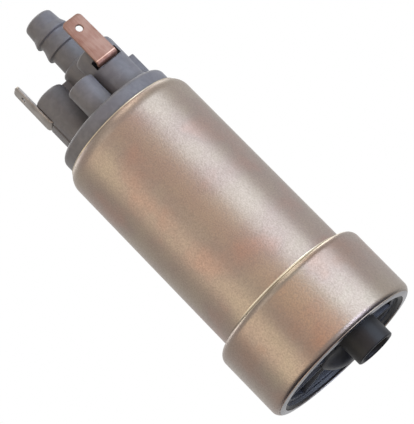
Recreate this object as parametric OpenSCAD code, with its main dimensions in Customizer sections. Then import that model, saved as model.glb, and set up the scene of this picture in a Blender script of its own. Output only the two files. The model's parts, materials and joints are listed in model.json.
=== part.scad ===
// In-tank electric fuel pump: a side-channel pump stage and its motor in one stepped steel case.
// Z runs along the shaft from the inlet end to the outlet barb. The end of the inlet nipple is at
// z = 0. The X axis points across the pump and -Y is the side with the small front boss.

/* [Case] */
// Outer diameter of the long barrel
case_d = 38; // [35:0.1:42]
// Thickness of the drawn steel
case_wall = 1.5; // [1.2:0.1:1.8]
// Length of the case from its rolled rim to its top edge
case_len = 78.8; // [77:0.1:90]
// Radius of the rounded shoulder at the top
shoulder_r = 4.7; // [4.2:0.1:5.2]
// How far the shoulder closes in from the barrel's outside
shoulder_w = 2.1; // [1.5:0.1:2.4]
// How far the collar round the pump stage stands out of the barrel
collar_step = 3.4; // [3:0.1:5]
// Height of the collar above the rim
collar_h = 21; // [20:0.1:24]
// Radius of the collar's upper outer edge
collar_top_r = 2.5; // [1.6:0.1:2.5]
// Radius of the hollow fillet between the collar and the barrel
step_fillet = 0.9; // [0.4:0.1:1.2]
// Radius of the collar's lower outer edge
collar_rim_r = 2.1; // [1.6:0.1:3]
// Width of the edge rolled in over the inlet cover, measured from the outside
lip_w = 2.8; // [2.4:0.1:4]

/* [Inlet cover] */
// How far the inlet nipple stands out of the rim
nipple_out = 5.6; // [3:0.1:10]
// Outer diameter of the inlet nipple
nipple_d = 10.8; // [10:0.1:12]
// Bore of the inlet nipple
nipple_bore = 8.2; // [6:0.1:8.8]
// Sideways place of the nipple
nipple_x = 6.1; // [5.5:0.1:7]
// Front to back place of the nipple
nipple_y = -7.9; // [-8.5:0.1:-7]
// Thickness of the inlet cover
cover_t = 6.8; // [6.4:0.1:7.6]
// Radius of the domed hub in the middle
hub_r = 6.3; // [5.8:0.1:7.5]
// How far the hub stands out of the rim
hub_out = 2.4; // [1:0.1:3]
// Number of ribs round the hub
cover_ribs = 9; // [7:1:11]
// Thickness of a rib
cover_rib_t = 1.1; // [0.8:0.1:1.6]
// Depth of the pockets between the ribs
pocket_depth = 2.6; // [2:0.1:3]
// Width of the flat ring outside the pockets, up to the lip
cover_ring_w = 2.4; // [1.8:0.1:3]
// Width of the rim that stands inside the lip
cover_rim_w = 1.1; // [0.8:0.1:1.5]

/* [Pump stage] */
// Diameter of the impeller
impeller_d = 33; // [32:0.1:34]
// Thickness of the impeller
impeller_t = 3.8; // [3.4:0.1:4.2]
// Number of vanes on each face
vanes = 34; // [24:1:40]
// Radial length of a vane pocket
vane_len = 3.4; // [3:0.1:3.8]
// Depth of the side channels
channel_depth = 1.9; // [1.5:0.1:2]
// Running gap on each side of the impeller
side_gap = 0.05; // [0.03:0.01:0.08]
// Height of the outlet plate's spigot inside the barrel
spigot_h = 5.2; // [4.5:0.1:7]

/* [Motor] */
// Diameter of the shaft
shaft_d = 4; // [3.4:0.1:4.4]
// Running clearance of the shaft in its bearings, on the diameter
shaft_gap = 0.03; // [0.02:0.01:0.06]
// Outer diameter of the bearings
bearing_d = 9; // [8:0.1:9.4]
// Length of the bearings
bearing_len = 5.6; // [4.5:0.1:6]
// Thickness of the magnets
magnet_t = 4.2; // [3.8:0.1:4.4]
// Angle that one magnet covers, in degrees
magnet_arc = 138; // [120:1:142]
// Air gap between magnets and armature
air_gap = 0.8; // [0.6:0.1:1]
// How much shorter the armature core is than the magnets
core_short = 8; // [6:0.5:10]
// Number of armature slots and commutator segments
slots = 8; // [6:1:10]
// Thickness of the commutator segments
segment_t = 3; // [2.4:0.1:3.4]

/* [Brushes] */
// Angle of the right brush round the shaft, in degrees
brush_angle = -30; // [-33:1:-27]
// Brush size across the radius
brush_w = 5.2; // [4.8:0.1:5.4]
// Brush size along the radius
brush_d = 4.2; // [3.8:0.1:4.3]
// Brush length when new
brush_len = 9; // [8:0.1:11]
// Clearance of a brush in its tube, on each side
brush_gap = 0.08; // [0.05:0.01:0.12]

/* [Outlet cap] */
// Thickness of the cap's body inside the case
cap_body_t = 8; // [7.6:0.1:9]
// Length of the cap's skirt, which holds the magnets down
skirt_h = 10; // [9:0.1:11]
// Gap between the flange and the case's top edge
flange_gap = 0.4; // [0.2:0.1:0.6]
// Height of the flange above the case
flange_h = 4.3; // [3.4:0.1:5]
// Diameter of the left brush tower
left_tower_d = 8.7; // [8.3:0.1:9]
// Height of the left brush tower above the flange
left_tower_h = 16.5; // [15:0.1:18]
// Diameter of the right brush tower
right_tower_d = 10.8; // [10.4:0.1:11]
// Height of the right brush tower above the flange
right_tower_h = 14.2; // [13:0.1:16]
// Diameter of the small front boss
front_boss_d = 7.7; // [7.4:0.1:8]
// Height of the small front boss above the flange
front_boss_h = 8.8; // [8.4:0.1:11]
// Sideways place of the small front boss
front_boss_x = -0.3; // [-0.8:0.1:0]
// Front to back place of the small front boss
front_boss_y = -9.5; // [-9.8:0.1:-9.2]

/* [Outlet barb] */
// Sideways place of the barb
barb_x = 3.4; // [3:0.1:3.6]
// Front to back place of the barb
barb_y = 7; // [6.8:0.1:7.4]
// Diameter of the round base below the barb
barb_base_d = 10.8; // [10.4:0.1:11.2]
// Height of the round base above the flange
barb_base_h = 17.4; // [17:0.1:19]
// Diameter of the barb's stem
stem_d = 8.7; // [8.4:0.1:9]
// Diameter over the barb's ridges
ridge_d = 10.2; // [9.8:0.1:10.6]
// Distance between the two ridges
ridge_pitch = 4.4; // [4:0.1:5]
// Height of the barb's tip above the flange
barb_h = 33; // [32:0.1:38]
// Bore of the barb
barb_bore = 5; // [4:0.1:5.4]

/* [Terminals] */
// Thickness of the terminal sheet
sheet_t = 0.8; // [0.6:0.1:1]
// Width of the wide blade
wide_w = 6.3; // [6:0.1:6.6]
// Width of the narrow blade
narrow_w = 4.8; // [4.4:0.1:5]
// Height of the wide blade's tip above the flange
wide_top = 22.3; // [20:0.1:26]
// Height of the narrow blade's tip above the flange
narrow_top = 23.3; // [20:0.1:26]
// Height of the wide blade's foot above the flange
wide_floor = 8.2; // [8:0.1:9]
// Height of the narrow blade's foot above the flange
narrow_floor = 9.6; // [9.2:0.1:10.4]
// Height of the slots
slot_h = 2.5; // [2:0.1:3]
// How far the wide blade stands to the left of its tower's middle
wide_shift = 0.9; // [0.4:0.1:1.2]
// How far the narrow blade stands behind its tower's middle
narrow_shift = 2; // [1.6:0.1:2.2]
// Hole in the wide blade
wide_hole_d = 1.9; // [1.5:0.1:2.2]
// Hole in the narrow blade
narrow_hole_d = 1.4; // [1.2:0.1:1.8]
// Distance of the holes from the blades' tips
hole_drop = 3.4; // [2.8:0.1:4]
// Turn of the wide blade's face away from the front, in degrees
wide_turn = 24; // [20:1:28]
// Turn of the narrow blade's face away from the front, in degrees
narrow_turn = -69; // [-74:1:-66]

/* [Valves] */
// Diameter of the relief ball
relief_ball_d = 3.8; // [3.4:0.1:4]

/* [Hidden] */
$fn = 96;
fit = 0.05;
slide_fit = 0.02;

// Heights of the case
rim_z = nipple_out;
cover_z = rim_z + case_wall;
cover_top = cover_z + cover_t;
step_z = rim_z + collar_h;
ledge_z = step_z - case_wall;
case_top = rim_z + case_len;

// Radii of the case
case_r = case_d / 2;
bore_r = case_r - case_wall;
collar_r = case_r + collar_step;
collar_bore_r = collar_r - case_wall;
lip_hole_r = collar_r - lip_w;
corner_r = 0.5;
collar_edge_r = min(collar_top_r, collar_step - step_fillet);

// The shoulder is an arc that ends where the cap's flange comes through
shoulder_x = case_r - shoulder_r;
mouth_r = case_r - shoulder_w;
shoulder_end = acos((mouth_r - shoulder_x) / shoulder_r);
shoulder_z = case_top - shoulder_r * sin(shoulder_end);

// Pump stage
impeller_r = impeller_d / 2;
impeller_z = cover_top + side_gap;
recess_h = impeller_t + 2 * side_gap;
recess_r = impeller_r + 0.15;
vane_mid_r = impeller_r - 0.8 - vane_len / 2;
port_w = vane_len - 0.8;
plate_floor = cover_top + recess_h;
plate_floor_t = 4;
cap_floor = case_top - cap_body_t;
magnet_z = ledge_z + spigot_h;
magnet_top = cap_floor - skirt_h;
nipple_angle = atan2(nipple_y, nipple_x);
pad_d = 5.4;
pad_t = 1.9;
shaft_tail = 1.4;
pad_top = cover_top - shaft_tail;

// Motor
magnet_r = bore_r - fit;
armature_r = magnet_r - magnet_t - air_gap;
tooth_w = 3;
yoke_r = 5.2;
tip_t = 1.2;
slot_liner = 0.3;
core_z = magnet_z + core_short / 2;
core_top = magnet_top - core_short / 2;
insulator_t = 0.8;
comm_top = cap_floor - 2.6;
segment_z = comm_top - segment_t;
winding_end = 3.4;
winding_r = armature_r - tip_t - slot_liner;
comm_r = winding_r + 0.65;
brush_r = comm_r - 0.6 - brush_d / 2;
comm_in = brush_r - brush_d / 2 - 2.1;
winding_low = core_z - insulator_t - winding_end;
winding_top = core_top + insulator_t + winding_end;
bearing_r = bearing_d / 2;
lower_bearing_z = plate_floor + 0.5;
upper_bearing_z = cap_floor + 0.4;
shaft_end = upper_bearing_z + bearing_len - 0.6;

// Rubber rings
seal_d = 1.8;
seal_mid_r = collar_bore_r - 1.5 - seal_d / 2;
cap_seal_d = 1.6;
cap_seal_z = cap_floor + 2.2;

// Outlet cap
cap_r = bore_r - fit;
flange_r = mouth_r - flange_gap;
flange_top = case_top + flange_h;
flange_edge_r = 1.5;
left_at = brush_r * [cos(brush_angle + 180), sin(brush_angle + 180)];
right_at = brush_r * [cos(brush_angle), sin(brush_angle)];
front_at = [front_boss_x, front_boss_y];
barb_at = [barb_x, barb_y];
wide_foot_z = flange_top + wide_floor;
narrow_foot_z = flange_top + narrow_floor;
tip_z = flange_top + barb_h;

// Terminals
wide_reach = right_tower_d / 2 + 0.9;
narrow_reach = left_tower_d / 2 + 0.55;
wide_foot_in = 3;
narrow_foot_in = 2.4;
bend_r = 0.5;
blade_corner = 1.2;

// Brushes, their springs and leads
brush_z = comm_top + fit;
brush_top = brush_z + brush_len;
spring_wire = 0.5;
brush_coil_r = brush_d / 2 - 0.45;
lead_d = 1.1;

// Check valve
check_bore = 6.6;
check_seat_z = case_top;
check_seat_h = 3;
check_seat_bore = 4.2;
poppet_z = check_seat_z + check_seat_h;
poppet_r = check_bore / 2 - 0.4;
poppet_mid = poppet_z + sqrt(pow(poppet_r, 2) - pow(check_seat_bore / 2, 2));
poppet_stem_h = 5;
check_roof = flange_top + barb_base_h - 2.2;

// Relief valve
relief_bore = 5.2;
relief_seat_z = case_top;
relief_seat_h = 2;
relief_seat_bore = 2.4;
relief_r = relief_ball_d / 2;
ball_mid = relief_seat_z + relief_seat_h
    + sqrt(pow(relief_r, 2) - pow(relief_seat_bore / 2, 2)) + 0.02;
relief_coil_r = 1.25;
relief_wire = 0.4;
relief_roof = flange_top + front_boss_h - 1.8;

// Chokes
choke_d = 4.8;
choke_core_d = 2.4;
choke_h = 6.8;
choke_inset = 2.7;
choke_r = cap_r - choke_d / 2 - choke_inset;
choke_left_at = choke_r * [cos(217), sin(217)];
choke_right_at = choke_r * [cos(20), sin(20)];

// Points of an arc round a centre, from one angle to another
function arc(x, y, r, from, to, n = 8) =
    [for (i = [0:n]) let (a = from + (to - from) * i / n) [x + r * cos(a), y + r * sin(a)]];

// A ring or disc between two radii and two heights
module ring(outer, inner, z0, z1) {
    translate([0, 0, z0])
        difference() {
            cylinder(r = outer, h = z1 - z0);
            if (inner > 0)
                translate([0, 0, -1])
                    cylinder(r = inner, h = z1 - z0 + 2);
        }
}

// A flat wedge seen from above, from one angle to another
module wedge(r, from, to) {
    steps = ceil((to - from) / 45);
    polygon(concat([[0, 0]],
        [for (i = [0:steps]) let (a = from + (to - from) * i / steps) 1.6 * r * [cos(a), sin(a)]]));
}

// A flat ring sector
module sector(inner, outer, from, to) {
    intersection() {
        difference() {
            circle(r = outer);
            circle(r = inner);
        }
        wedge(outer, from, to);
    }
}

// A block with its corners cut off, standing on its middle
module block(w, d, h, corner) {
    linear_extrude(h)
        polygon([[w / 2 - corner, -d / 2], [w / 2, -d / 2 + corner], [w / 2, d / 2 - corner],
            [w / 2 - corner, d / 2], [corner - w / 2, d / 2], [-w / 2, d / 2 - corner],
            [-w / 2, corner - d / 2], [corner - w / 2, -d / 2]]);
}

// A wire of round section along points that lie on a coil, as one closed tube
module coil(radius, wire_d, turns, height, per_turn = 12) {
    sides = 6;
    lie = 0.75;
    rise = height - wire_d;
    rings = round(turns * per_turn);
    function turn_z(t) = t < lie ? 0 : t > turns - lie ? 1 : (t - lie) / (turns - 2 * lie);
    function at(i) = let (t = i / per_turn, a = 360 * t)
        [radius * cos(a), radius * sin(a), wire_d / 2 + rise * turn_z(t)];
    points = [for (i = [0:rings]) for (k = [0:sides - 1])
        let (p = at(i), a = 360 * i / per_turn, b = 360 * k / sides)
            p + wire_d / 2 * [cos(b) * cos(a), cos(b) * sin(a), sin(b)]];
    skin = [for (i = [0:rings - 1]) for (k = [0:sides - 1])
        let (j = (k + 1) % sides)
            [i * sides + k, i * sides + j, (i + 1) * sides + j, (i + 1) * sides + k]];
    polyhedron(points, concat([[for (k = [sides - 1:-1:0]) k]], skin,
        [[for (k = [0:sides - 1]) rings * sides + k]]));
}

// Outline of the case's outer or inner skin, seen from the side
module case_outline(inset) {
    grow = inset > 0 ? 1 : 0;
    polygon(concat(
        [[0, rim_z - 1 + grow * (case_wall + 1)]],
        inset > 0
            ? concat([[collar_bore_r - corner_r, cover_z]],
                arc(collar_bore_r - corner_r, cover_z + corner_r, corner_r, -90, 0, 3))
            : concat([[0, rim_z]],
                arc(collar_r - collar_rim_r, rim_z + collar_rim_r, collar_rim_r, -90, 0)),
        arc(collar_r - collar_edge_r, step_z - collar_edge_r, collar_edge_r - inset, 0, 90),
        inset > 0
            ? [[bore_r, ledge_z]]
            : arc(case_r + step_fillet, step_z + step_fillet, step_fillet, 270, 180, 4),
        arc(shoulder_x, shoulder_z, shoulder_r - inset, 0, shoulder_end),
        inset > 0 ? [[shoulder_x + (shoulder_r + 1) * cos(shoulder_end),
            shoulder_z + (shoulder_r + 1) * sin(shoulder_end)]] : [],
        [[0, case_top + inset]]));
}

module case() {
    color([0.66, 0.57, 0.50])
        rotate_extrude()
            difference() {
                case_outline(0);
                case_outline(case_wall);
                square([lip_hole_r, cover_z + 1]);
            }
}

// Flat plan of the pockets between the cover's ribs
module cover_pockets() {
    outer = lip_hole_r - cover_ring_w;
    difference() {
        circle(r = outer);
        circle(r = hub_r + 1);
        translate([nipple_x, nipple_y])
            circle(d = nipple_d + 1.5);
        for (i = [0:cover_ribs - 1])
            rotate(22 + i * 360 / cover_ribs)
                translate([0, -cover_rib_t / 2])
                    square([collar_r, cover_rib_t]);
    }
}

// Domed hub that carries the thrust pad
module cover_hub() {
    bottom = rim_z - hub_out;
    top = cover_z + pocket_depth + 0.5;
    dome_r = hub_r + 1.3;
    dome = arc(0, bottom + dome_r, dome_r, -86, asin(hub_r / dome_r) - 90);
    rotate_extrude()
        polygon(concat([[0, top], [0, dome[0][1]]], dome, [[hub_r, top]]));
}

module inlet_cover() {
    r = collar_bore_r - fit;
    edge = 0.7;
    rim_r = lip_hole_r - fit;
    rim_low = rim_z + 0.3;
    color([0.17, 0.17, 0.18])
        difference() {
            union() {
                difference() {
                    rotate_extrude()
                        polygon([[0, cover_z], [rim_r - cover_rim_w, cover_z],
                            [rim_r - cover_rim_w + 0.2, rim_low], [rim_r - 0.2, rim_low],
                            [rim_r, rim_low + 0.2], [rim_r, cover_z], [r - edge, cover_z],
                            [r, cover_z + edge], [r, cover_top], [0, cover_top]]);
                    translate([0, 0, cover_z - 1])
                        linear_extrude(pocket_depth + 1)
                            cover_pockets();
                }
                cover_hub();
                translate([nipple_x, nipple_y, 0])
                    rotate_extrude()
                        polygon(concat([[0, 0]], arc(nipple_d / 2 - 0.8, 0.8, 0.8, -90, 0, 4),
                            [[nipple_d / 2, cover_z + pocket_depth + 0.5],
                            [0, cover_z + pocket_depth + 0.5]]));
            }
            translate([nipple_x, nipple_y, -1])
                cylinder(d = nipple_bore, h = cover_top - channel_depth + 1);
            // Port from the nipple into the side channel
            translate([0, 0, cover_top - channel_depth - 0.6])
                linear_extrude(channel_depth + 1)
                    sector(vane_mid_r - port_w / 2, vane_mid_r + port_w / 2,
                        nipple_angle - 9, nipple_angle + 9);
            // Side channel that faces the impeller
            translate([0, 0, cover_top])
                rotate([0, 0, nipple_angle])
                    side_channel();
            // Blind hole for the thrust pad
            translate([0, 0, pad_top - pad_t])
                cylinder(d = pad_d + 2 * slide_fit, h = pad_t + shaft_tail + 1);
        }
}

// Groove round most of the vane circle
module side_channel() {
    rotate_extrude(angle = 310)
        translate([vane_mid_r, 0])
            intersection() {
                circle(r = vane_len / 2);
                square([vane_len, 2 * channel_depth], center = true);
            }
}

module thrust_pad() {
    color([0.45, 0.40, 0.34])
        ring(pad_d / 2, 0, pad_top - pad_t, pad_top);
}

// Section of the shaft, with a flat where the impeller sits
module drive_section(d) {
    difference() {
        circle(d = d);
        translate([d / 2 - 0.6, -d])
            square([d, 2 * d]);
    }
}

// One ring of vane pockets, cut into a face
module vane_pockets() {
    pitch = 360 / vanes;
    depth = impeller_t / 2 - 0.25;
    for (i = [0:vanes - 1])
        rotate([0, 0, i * pitch])
            translate([vane_mid_r, 0, 0])
                rotate([18, 0, 0])
                    translate([-vane_len / 2, -0.85, -depth])
                        cube([vane_len, 1.7, depth + 2]);
}

module impeller() {
    color([0.25, 0.23, 0.21])
        difference() {
            ring(impeller_r, 0, impeller_z, impeller_z + impeller_t);
            translate([0, 0, impeller_z + impeller_t])
                vane_pockets();
            translate([0, 0, impeller_z])
                rotate([0, 0, 180 / vanes])
                    mirror([0, 0, 1])
                        vane_pockets();
            translate([0, 0, impeller_z - 1])
                linear_extrude(impeller_t + 2)
                    drive_section(shaft_d + 2 * slide_fit);
            // Holes that balance the pressure on both faces
            for (a = [0:60:300])
                rotate([0, 0, a])
                    translate([impeller_r / 2, 0, impeller_z - 1])
                        cylinder(d = 2.2, h = impeller_t + 2);
        }
}

module outlet_plate() {
    r = collar_bore_r - fit;
    spigot_r = bore_r - fit;
    hub_top = lower_bearing_z + bearing_len + 0.4;
    wall_r = magnet_r - magnet_t;
    port_in = min(vane_mid_r - port_w / 2, wall_r - 0.6);
    color([0.30, 0.28, 0.26])
        difference() {
            rotate_extrude()
                polygon(concat([[recess_r, cover_top], [r, cover_top]],
                    arc(r - 1, ledge_z - seal_d - 1, 1, 0, 90, 4),
                    [[seal_mid_r - seal_d / 2 - 0.1, ledge_z - seal_d],
                    [seal_mid_r - seal_d / 2 - 0.1, ledge_z], [spigot_r, ledge_z],
                    [spigot_r, magnet_z], [wall_r, magnet_z],
                    [wall_r, plate_floor + plate_floor_t],
                    [bearing_r + 2.6, plate_floor + plate_floor_t],
                    [bearing_r + 1.8, hub_top], [shaft_d / 2 + 0.5, hub_top],
                    [shaft_d / 2 + 0.5, plate_floor], [recess_r, plate_floor]]));
            ring(bearing_r + slide_fit, 0, lower_bearing_z, hub_top + 1);
            translate([0, 0, plate_floor])
                rotate([0, 0, nipple_angle])
                    side_channel();
            // Outlet port at the far end of the channel
            translate([0, 0, plate_floor - 1])
                linear_extrude(plate_floor_t + 2)
                    sector(port_in, vane_mid_r + port_w / 2,
                        nipple_angle - 64, nipple_angle - 53);
        }
}

// Rubber ring between the pump stage and the step in the case
module pump_seal() {
    color([0.10, 0.10, 0.10])
        rotate_extrude()
            translate([seal_mid_r, ledge_z - seal_d / 2])
                circle(r = seal_d / 2 - 0.01, $fn = 32);
}

module bearing(z) {
    edge = 0.4;
    inner = (shaft_d + shaft_gap) / 2;
    color([0.60, 0.50, 0.32])
        rotate_extrude()
            polygon([[inner, z], [bearing_r - edge, z], [bearing_r, z + edge],
                [bearing_r, z + bearing_len - edge], [bearing_r - edge, z + bearing_len],
                [inner, z + bearing_len]]);
}

module lower_bearing() {
    bearing(lower_bearing_z);
}

module upper_bearing() {
    bearing(upper_bearing_z);
}

module shaft() {
    tip = 0.4;
    r = shaft_d / 2;
    color([0.75, 0.75, 0.77])
        difference() {
            rotate_extrude()
                polygon([[0, pad_top + fit], [r - tip, pad_top + fit], [r, pad_top + fit + tip],
                    [r, shaft_end - tip], [r - tip, shaft_end], [0, shaft_end]]);
            translate([r - 0.6, -r, 0])
                cube([r, shaft_d, impeller_z + impeller_t + side_gap]);
        }
}

// Plan of one lamination of the armature
module lamination() {
    difference() {
        union() {
            circle(r = yoke_r);
            for (i = [0:slots - 1])
                rotate(i * 360 / slots) {
                    translate([0, -tooth_w / 2])
                        square([armature_r - tip_t / 2, tooth_w]);
                    sector(armature_r - tip_t, armature_r, -170 / slots, 170 / slots);
                }
        }
        circle(d = shaft_d);
    }
}

module armature_core() {
    color([0.45, 0.46, 0.48])
        translate([0, 0, core_z])
            linear_extrude(core_top - core_z)
                lamination();
}

module armature_insulators() {
    color([0.20, 0.42, 0.30])
        for (z = [core_z - insulator_t, core_top])
            translate([0, 0, z])
                linear_extrude(insulator_t)
                    lamination();
}

// Copper in the slots, joined by the end turns above and below the core
module armature_windings() {
    out = winding_r;
    in = yoke_r + slot_liner;
    low = core_z - insulator_t;
    high = core_top + insulator_t;
    bend = winding_end * 0.6;
    color([0.62, 0.33, 0.18]) {
        translate([0, 0, low])
            linear_extrude(high - low)
                difference() {
                    circle(r = out);
                    circle(r = in);
                    for (i = [0:slots - 1])
                        rotate(i * 360 / slots)
                            translate([0, -tooth_w / 2 - slot_liner])
                                square([armature_r, tooth_w + 2 * slot_liner]);
                }
        rotate_extrude()
            polygon(concat([[in, low], [in, winding_low]],
                arc(out - bend, winding_low + bend, bend, -90, 0), [[out, low]]));
        rotate_extrude()
            polygon(concat([[out, high]], arc(out - bend, winding_top - bend, bend, 0, 90),
                [[in, winding_top], [in, high]]));
    }
}

module commutator_hub() {
    color([0.35, 0.24, 0.16])
        rotate_extrude()
            polygon([[shaft_d / 2, winding_top + fit], [comm_in + 0.8, winding_top + fit],
                [comm_r - 1.4, segment_z - 1], [comm_r - 0.4, segment_z],
                [comm_in - 0.1, segment_z], [comm_in - 0.1, comm_top - 0.4],
                [shaft_d / 2, comm_top - 0.4]]);
}

module commutator_segments() {
    cut = 2.6;
    color([0.16, 0.16, 0.17])
        translate([0, 0, segment_z])
            linear_extrude(segment_t)
                for (i = [0:slots - 1])
                    sector(comm_in, comm_r, i * 360 / slots + cut,
                        (i + 1) * 360 / slots - cut);
}

module magnet(turn) {
    color([0.24, 0.24, 0.25])
        translate([0, 0, magnet_z])
            linear_extrude(magnet_top - magnet_z)
                sector(magnet_r - magnet_t, magnet_r, turn - magnet_arc / 2,
                    turn + magnet_arc / 2);
}

module magnet_left() {
    magnet(180);
}

module magnet_right() {
    magnet(0);
}

// Spring strip that pushes the magnets apart along the barrel's wall
module magnet_clip(turn) {
    strip = 0.5;
    gap = (180 - magnet_arc) / 2 - 0.2;
    leg = 2.6;
    color([0.70, 0.71, 0.72])
        translate([0, 0, magnet_z])
            rotate([0, 0, turn])
                linear_extrude(magnet_top - magnet_z - 4) {
                    sector(magnet_r - strip, magnet_r, 0.8 - gap, gap - 0.8);
                    for (side = [-1, 1])
                        rotate(side * gap)
                            translate([magnet_r - leg, side > 0 ? -strip : 0])
                                square([leg - strip / 2, strip]);
                }
}

module magnet_clip_front() {
    magnet_clip(-90);
}

module magnet_clip_back() {
    magnet_clip(90);
}

// Side view of the cap's skirt, body and flange, without what stands on top
module cap_outline() {
    seal_h = cap_seal_d + 0.1;
    depth = cap_seal_d;
    inner_r = shoulder_r - case_wall - fit;
    end_s = (flange_r + fit * sin(shoulder_end) - shoulder_x) / cos(shoulder_end);
    polygon(concat(
        [[magnet_r - magnet_t + 0.6, magnet_top], [cap_r, magnet_top],
        [cap_r, cap_seal_z - seal_h / 2], [cap_r - depth, cap_seal_z - seal_h / 2],
        [cap_r - depth, cap_seal_z + seal_h / 2], [cap_r, cap_seal_z + seal_h / 2]],
        arc(shoulder_x, shoulder_z, inner_r, 0, shoulder_end),
        [[flange_r, shoulder_z + end_s * sin(shoulder_end) + fit * cos(shoulder_end)]],
        arc(flange_r - flange_edge_r, flange_top - flange_edge_r, flange_edge_r, 0, 90, 6),
        [[0, flange_top], [0, cap_floor], [magnet_r - magnet_t + 0.6, cap_floor]]));
}

// A round boss on the flange with a rounded upper edge
module boss(at, r, h, edge) {
    translate([at[0], at[1], flange_top - 1])
        rotate_extrude()
            polygon(concat([[0, 0], [r, 0]], arc(r - edge, h + 1 - edge, edge, 0, 90, 5),
                [[0, h + 1]]));
}

// Direction of a blade's face and the turn that brings -Y onto it
module facing(at, turn) {
    translate([at[0], at[1], 0])
        rotate([0, 0, turn])
            children();
}

// Round base, stem, two ridges and tapered tip of the hose barb
module barb_outline() {
    r = stem_d / 2;
    base_r = barb_base_d / 2;
    ridge_r = ridge_d / 2;
    low = barb_base_h + 5.2;
    high = low + ridge_pitch;
    polygon(concat(
        [[0, -1], [base_r, -1]], arc(base_r - 1, barb_base_h - 1.6, 1, 0, 60, 4),
        [[r, barb_base_h], [r, low - 0.5], [ridge_r - 0.1, low - 0.1], [ridge_r, low + 0.1],
        [ridge_r - 0.1, low + 0.6], [r, low + 2.6], [r, high - 0.5], [ridge_r - 0.1, high - 0.1],
        [ridge_r, high + 0.1], [r + 0.3, high + 1.6], [r + 0.05, high + 2.1]],
        arc(r - 1, barb_h - 1, 1, 10, 90, 5), [[0, barb_h]]));
}

// The stepped wing on the right of the right tower
module tower_wing() {
    wing_r = right_tower_d / 2 - 0.1;
    step_w = 1.7;
    step_h = 7;
    low = flange_top - 1;
    translate([0, -2, low])
        cube([wing_r, 4, right_tower_h - 0.6 + 1]);
    translate([0, -1.2, low])
        cube([wing_r + step_w, 2.6, step_h + 1]);
}

module outlet_cap() {
    web_at = (left_at + barb_at) / 2;
    web_to = barb_at - left_at;
    rib_to = right_at - front_at;
    tube_w = brush_w + 2 * brush_gap;
    tube_d = brush_d + 2 * brush_gap;
    color([0.44, 0.44, 0.45])
        difference() {
            union() {
                rotate_extrude()
                    cap_outline();
                boss(left_at, left_tower_d / 2, left_tower_h, 1.3);
                boss(right_at, right_tower_d / 2, right_tower_h, 0.8);
                boss(front_at, front_boss_d / 2, front_boss_h, 0.5);
                translate([barb_x, barb_y, flange_top])
                    rotate_extrude()
                        barb_outline();
                // Wall under the narrow blade's bend
                facing(left_at, narrow_turn)
                    translate([-narrow_shift - 1.7, 0.2 - narrow_reach, flange_top - 1])
                        cube([3.4, narrow_reach - 0.2, narrow_floor - 0.1 + 1]);
                facing(right_at, wide_turn)
                    tower_wing();
                // Web between the left tower and the barb's base
                translate([web_at[0], web_at[1], flange_top - 1])
                    rotate([0, 0, atan2(web_to[1], web_to[0])])
                        translate([-norm(web_to) / 2, -1, 0])
                            cube([norm(web_to), 2, left_tower_h - 0.7 + 1]);
                // Low rib between the front boss and the right tower
                translate([front_at[0], front_at[1], flange_top - 1])
                    rotate([0, 0, atan2(rib_to[1], rib_to[0])])
                        translate([0, -0.6, 0])
                            cube([norm(rib_to), 1.2, 5]);
            }
            // Brush tubes
            for (side = [0, 1])
                rotate([0, 0, brush_angle + 180 * side])
                    translate([brush_r, 0, cap_floor - 1])
                        block(tube_d, tube_w,
                            (side == 0 ? wide_foot_z : narrow_foot_z) - cap_floor + 1.2, 0.3);
            // Slot and side flat for the narrow blade
            facing(left_at, narrow_turn)
                translate([-narrow_shift - narrow_w / 2 - 0.3, -left_tower_d, narrow_foot_z]) {
                    cube([narrow_w + 0.6, left_tower_d + narrow_foot_in + 0.6, slot_h]);
                    cube([narrow_w + 0.6, left_tower_d - narrow_reach + sheet_t + fit,
                        left_tower_h]);
                }
            // Slot for the wide blade, lower where the bend leaves it
            facing(right_at, wide_turn)
                translate([-wide_shift - wide_w / 2 - 0.1, -right_tower_d, wide_foot_z]) {
                    cube([wide_w + 1.5, right_tower_d + wide_foot_in + 0.6, slot_h]);
                    translate([0, 0, -0.5])
                        cube([wide_w + 1.5, right_tower_d - wide_reach + 2, 1]);
                }
            // Outlet channel with the check valve's chamber
            translate([barb_x, barb_y, 0]) {
                ring(check_bore / 2, 0, cap_floor - 1, check_roof);
                ring(barb_bore / 2, 0, check_roof - 1, tip_z + 1);
            }
            // Relief valve's chamber and vent
            translate([front_at[0], front_at[1], 0]) {
                ring(relief_bore / 2, 0, cap_floor - 1, relief_roof);
                ring(1, 0, relief_roof - 1, flange_top + front_boss_h + 1);
            }
            ring(bearing_r + slide_fit, 0, cap_floor - 1, upper_bearing_z + bearing_len);
            for (at = [choke_left_at, choke_right_at])
                translate([at[0], at[1], 0])
                    ring(choke_d / 2 + 0.15, 0, cap_floor - 1, cap_floor + choke_h + 0.2);
        }
}

module cap_seal() {
    color([0.10, 0.10, 0.10])
        rotate_extrude()
            translate([cap_r - cap_seal_d / 2 + 0.02, cap_seal_z])
                circle(r = cap_seal_d / 2 - 0.01, $fn = 32);
}

// A carbon brush with a flat face below and a pilot for its spring above
module brush(turn) {
    color([0.15, 0.15, 0.16])
        rotate([0, 0, turn])
            translate([brush_r, 0, brush_z]) {
                block(brush_d, brush_w, brush_len - 0.8, 0.3);
                translate([0, 0, brush_len - 1])
                    cylinder(d = 2.2, h = 1, $fn = 32);
            }
}

module brush_left() {
    brush(brush_angle + 180);
}

module brush_right() {
    brush(brush_angle);
}

module brush_spring(turn, foot_z) {
    seat = brush_top - 0.8;
    color([0.72, 0.72, 0.74])
        rotate([0, 0, turn])
            translate([brush_r, 0, seat + fit])
                coil(brush_coil_r, spring_wire, 7, foot_z - seat - 2 * fit);
}

module brush_spring_left() {
    brush_spring(brush_angle + 180, narrow_foot_z);
}

module brush_spring_right() {
    brush_spring(brush_angle, wide_foot_z);
}

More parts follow.
